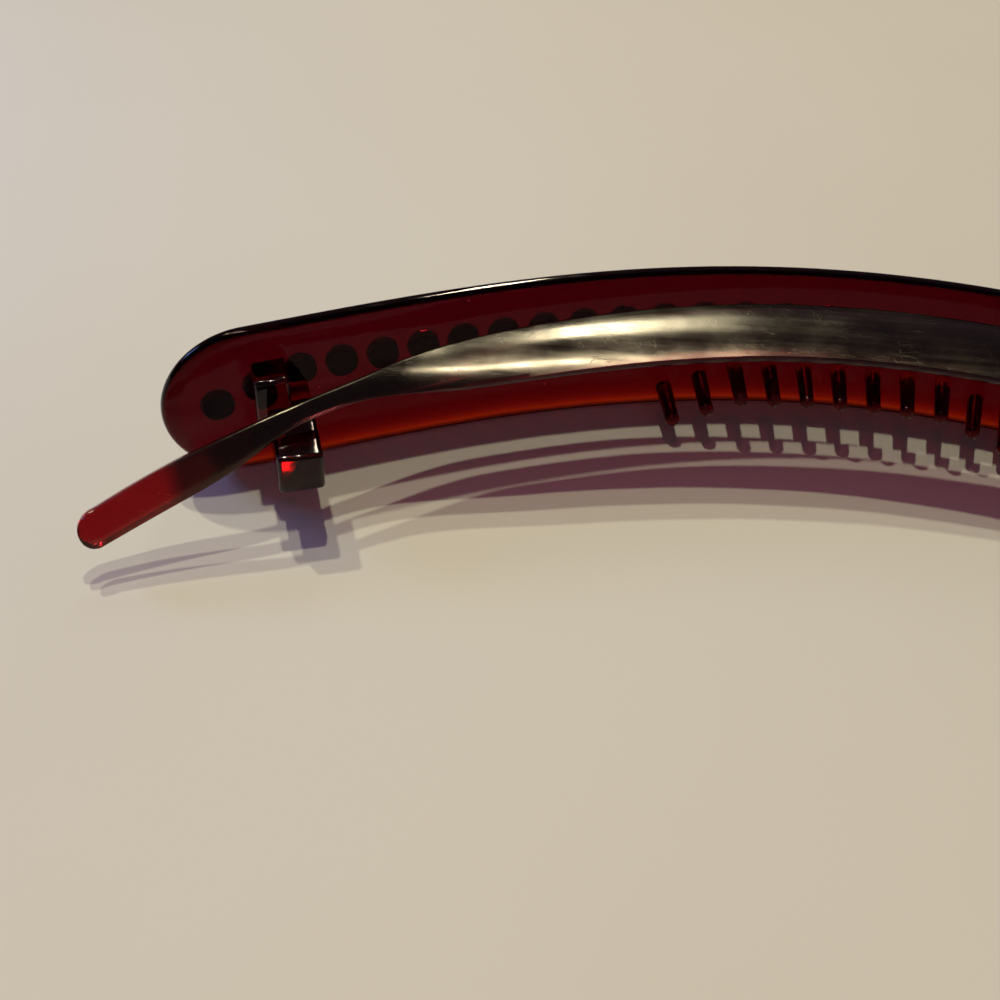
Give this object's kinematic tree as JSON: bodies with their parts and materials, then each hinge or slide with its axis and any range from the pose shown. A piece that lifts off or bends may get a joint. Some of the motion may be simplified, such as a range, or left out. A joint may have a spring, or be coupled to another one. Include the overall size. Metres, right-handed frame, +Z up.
{
  "type": "hair clip",
  "caption": "Arched plastic hair clip: a plate with comb teeth and catch prongs, a tongue hinged at one end, and a row of cut stones on the outside.",
  "frame": {"origin": "middle of the clip's box in plan, on the surface that it stands on", "axes": "+Z up; +X along the clip from the catch end to the hinge end; +Y towards the crown of the arch, so the hollow side with the comb and the tongue faces -Y"},
  "size_m": [0.0976, 0.0264, 0.012],
  "materials": {
    "plate": "polished, translucent dark red",
    "tongue": "polished with fine scratches, translucent dark red",
    "hinge_pin": "drawn wire",
    "stones": "faceted, foiled behind"
  },
  "bodies": {
    "clip": {"plate": "plate", "hinge_pin": "hinge_pin", "stone_01": "stones", "stone_02": "stones", "stone_03": "stones", "stone_04": "stones", "stone_05": "stones", "stone_06": "stones", "stone_07": "stones", "stone_08": "stones", "stone_09": "stones", "stone_10": "stones", "stone_11": "stones", "stone_12": "stones", "stone_13": "stones", "stone_14": "stones", "stone_15": "stones", "stone_16": "stones", "stone_17": "stones", "stone_18": "stones", "stone_19": "stones", "stone_20": "stones", "stone_21": "stones", "stone_22": "stones", "stone_23": "stones", "stone_24": "stones", "stone_25": "stones", "stone_26": "stones", "stone_27": "stones", "stone_28": "stones", "stone_29": "stones", "stone_30": "stones", "stone_31": "stones", "stone_32": "stones"},
    "tongue": {"tongue": "tongue"}
  },
  "joints": [
    {"name": "tongue_hinge", "type": "hinge", "parent": "clip", "child": "tongue", "pos_m": [0.04177, -0.00292, 0.0075], "axis": [0, 0, 1], "range_deg": [0, 60]}
  ]
}
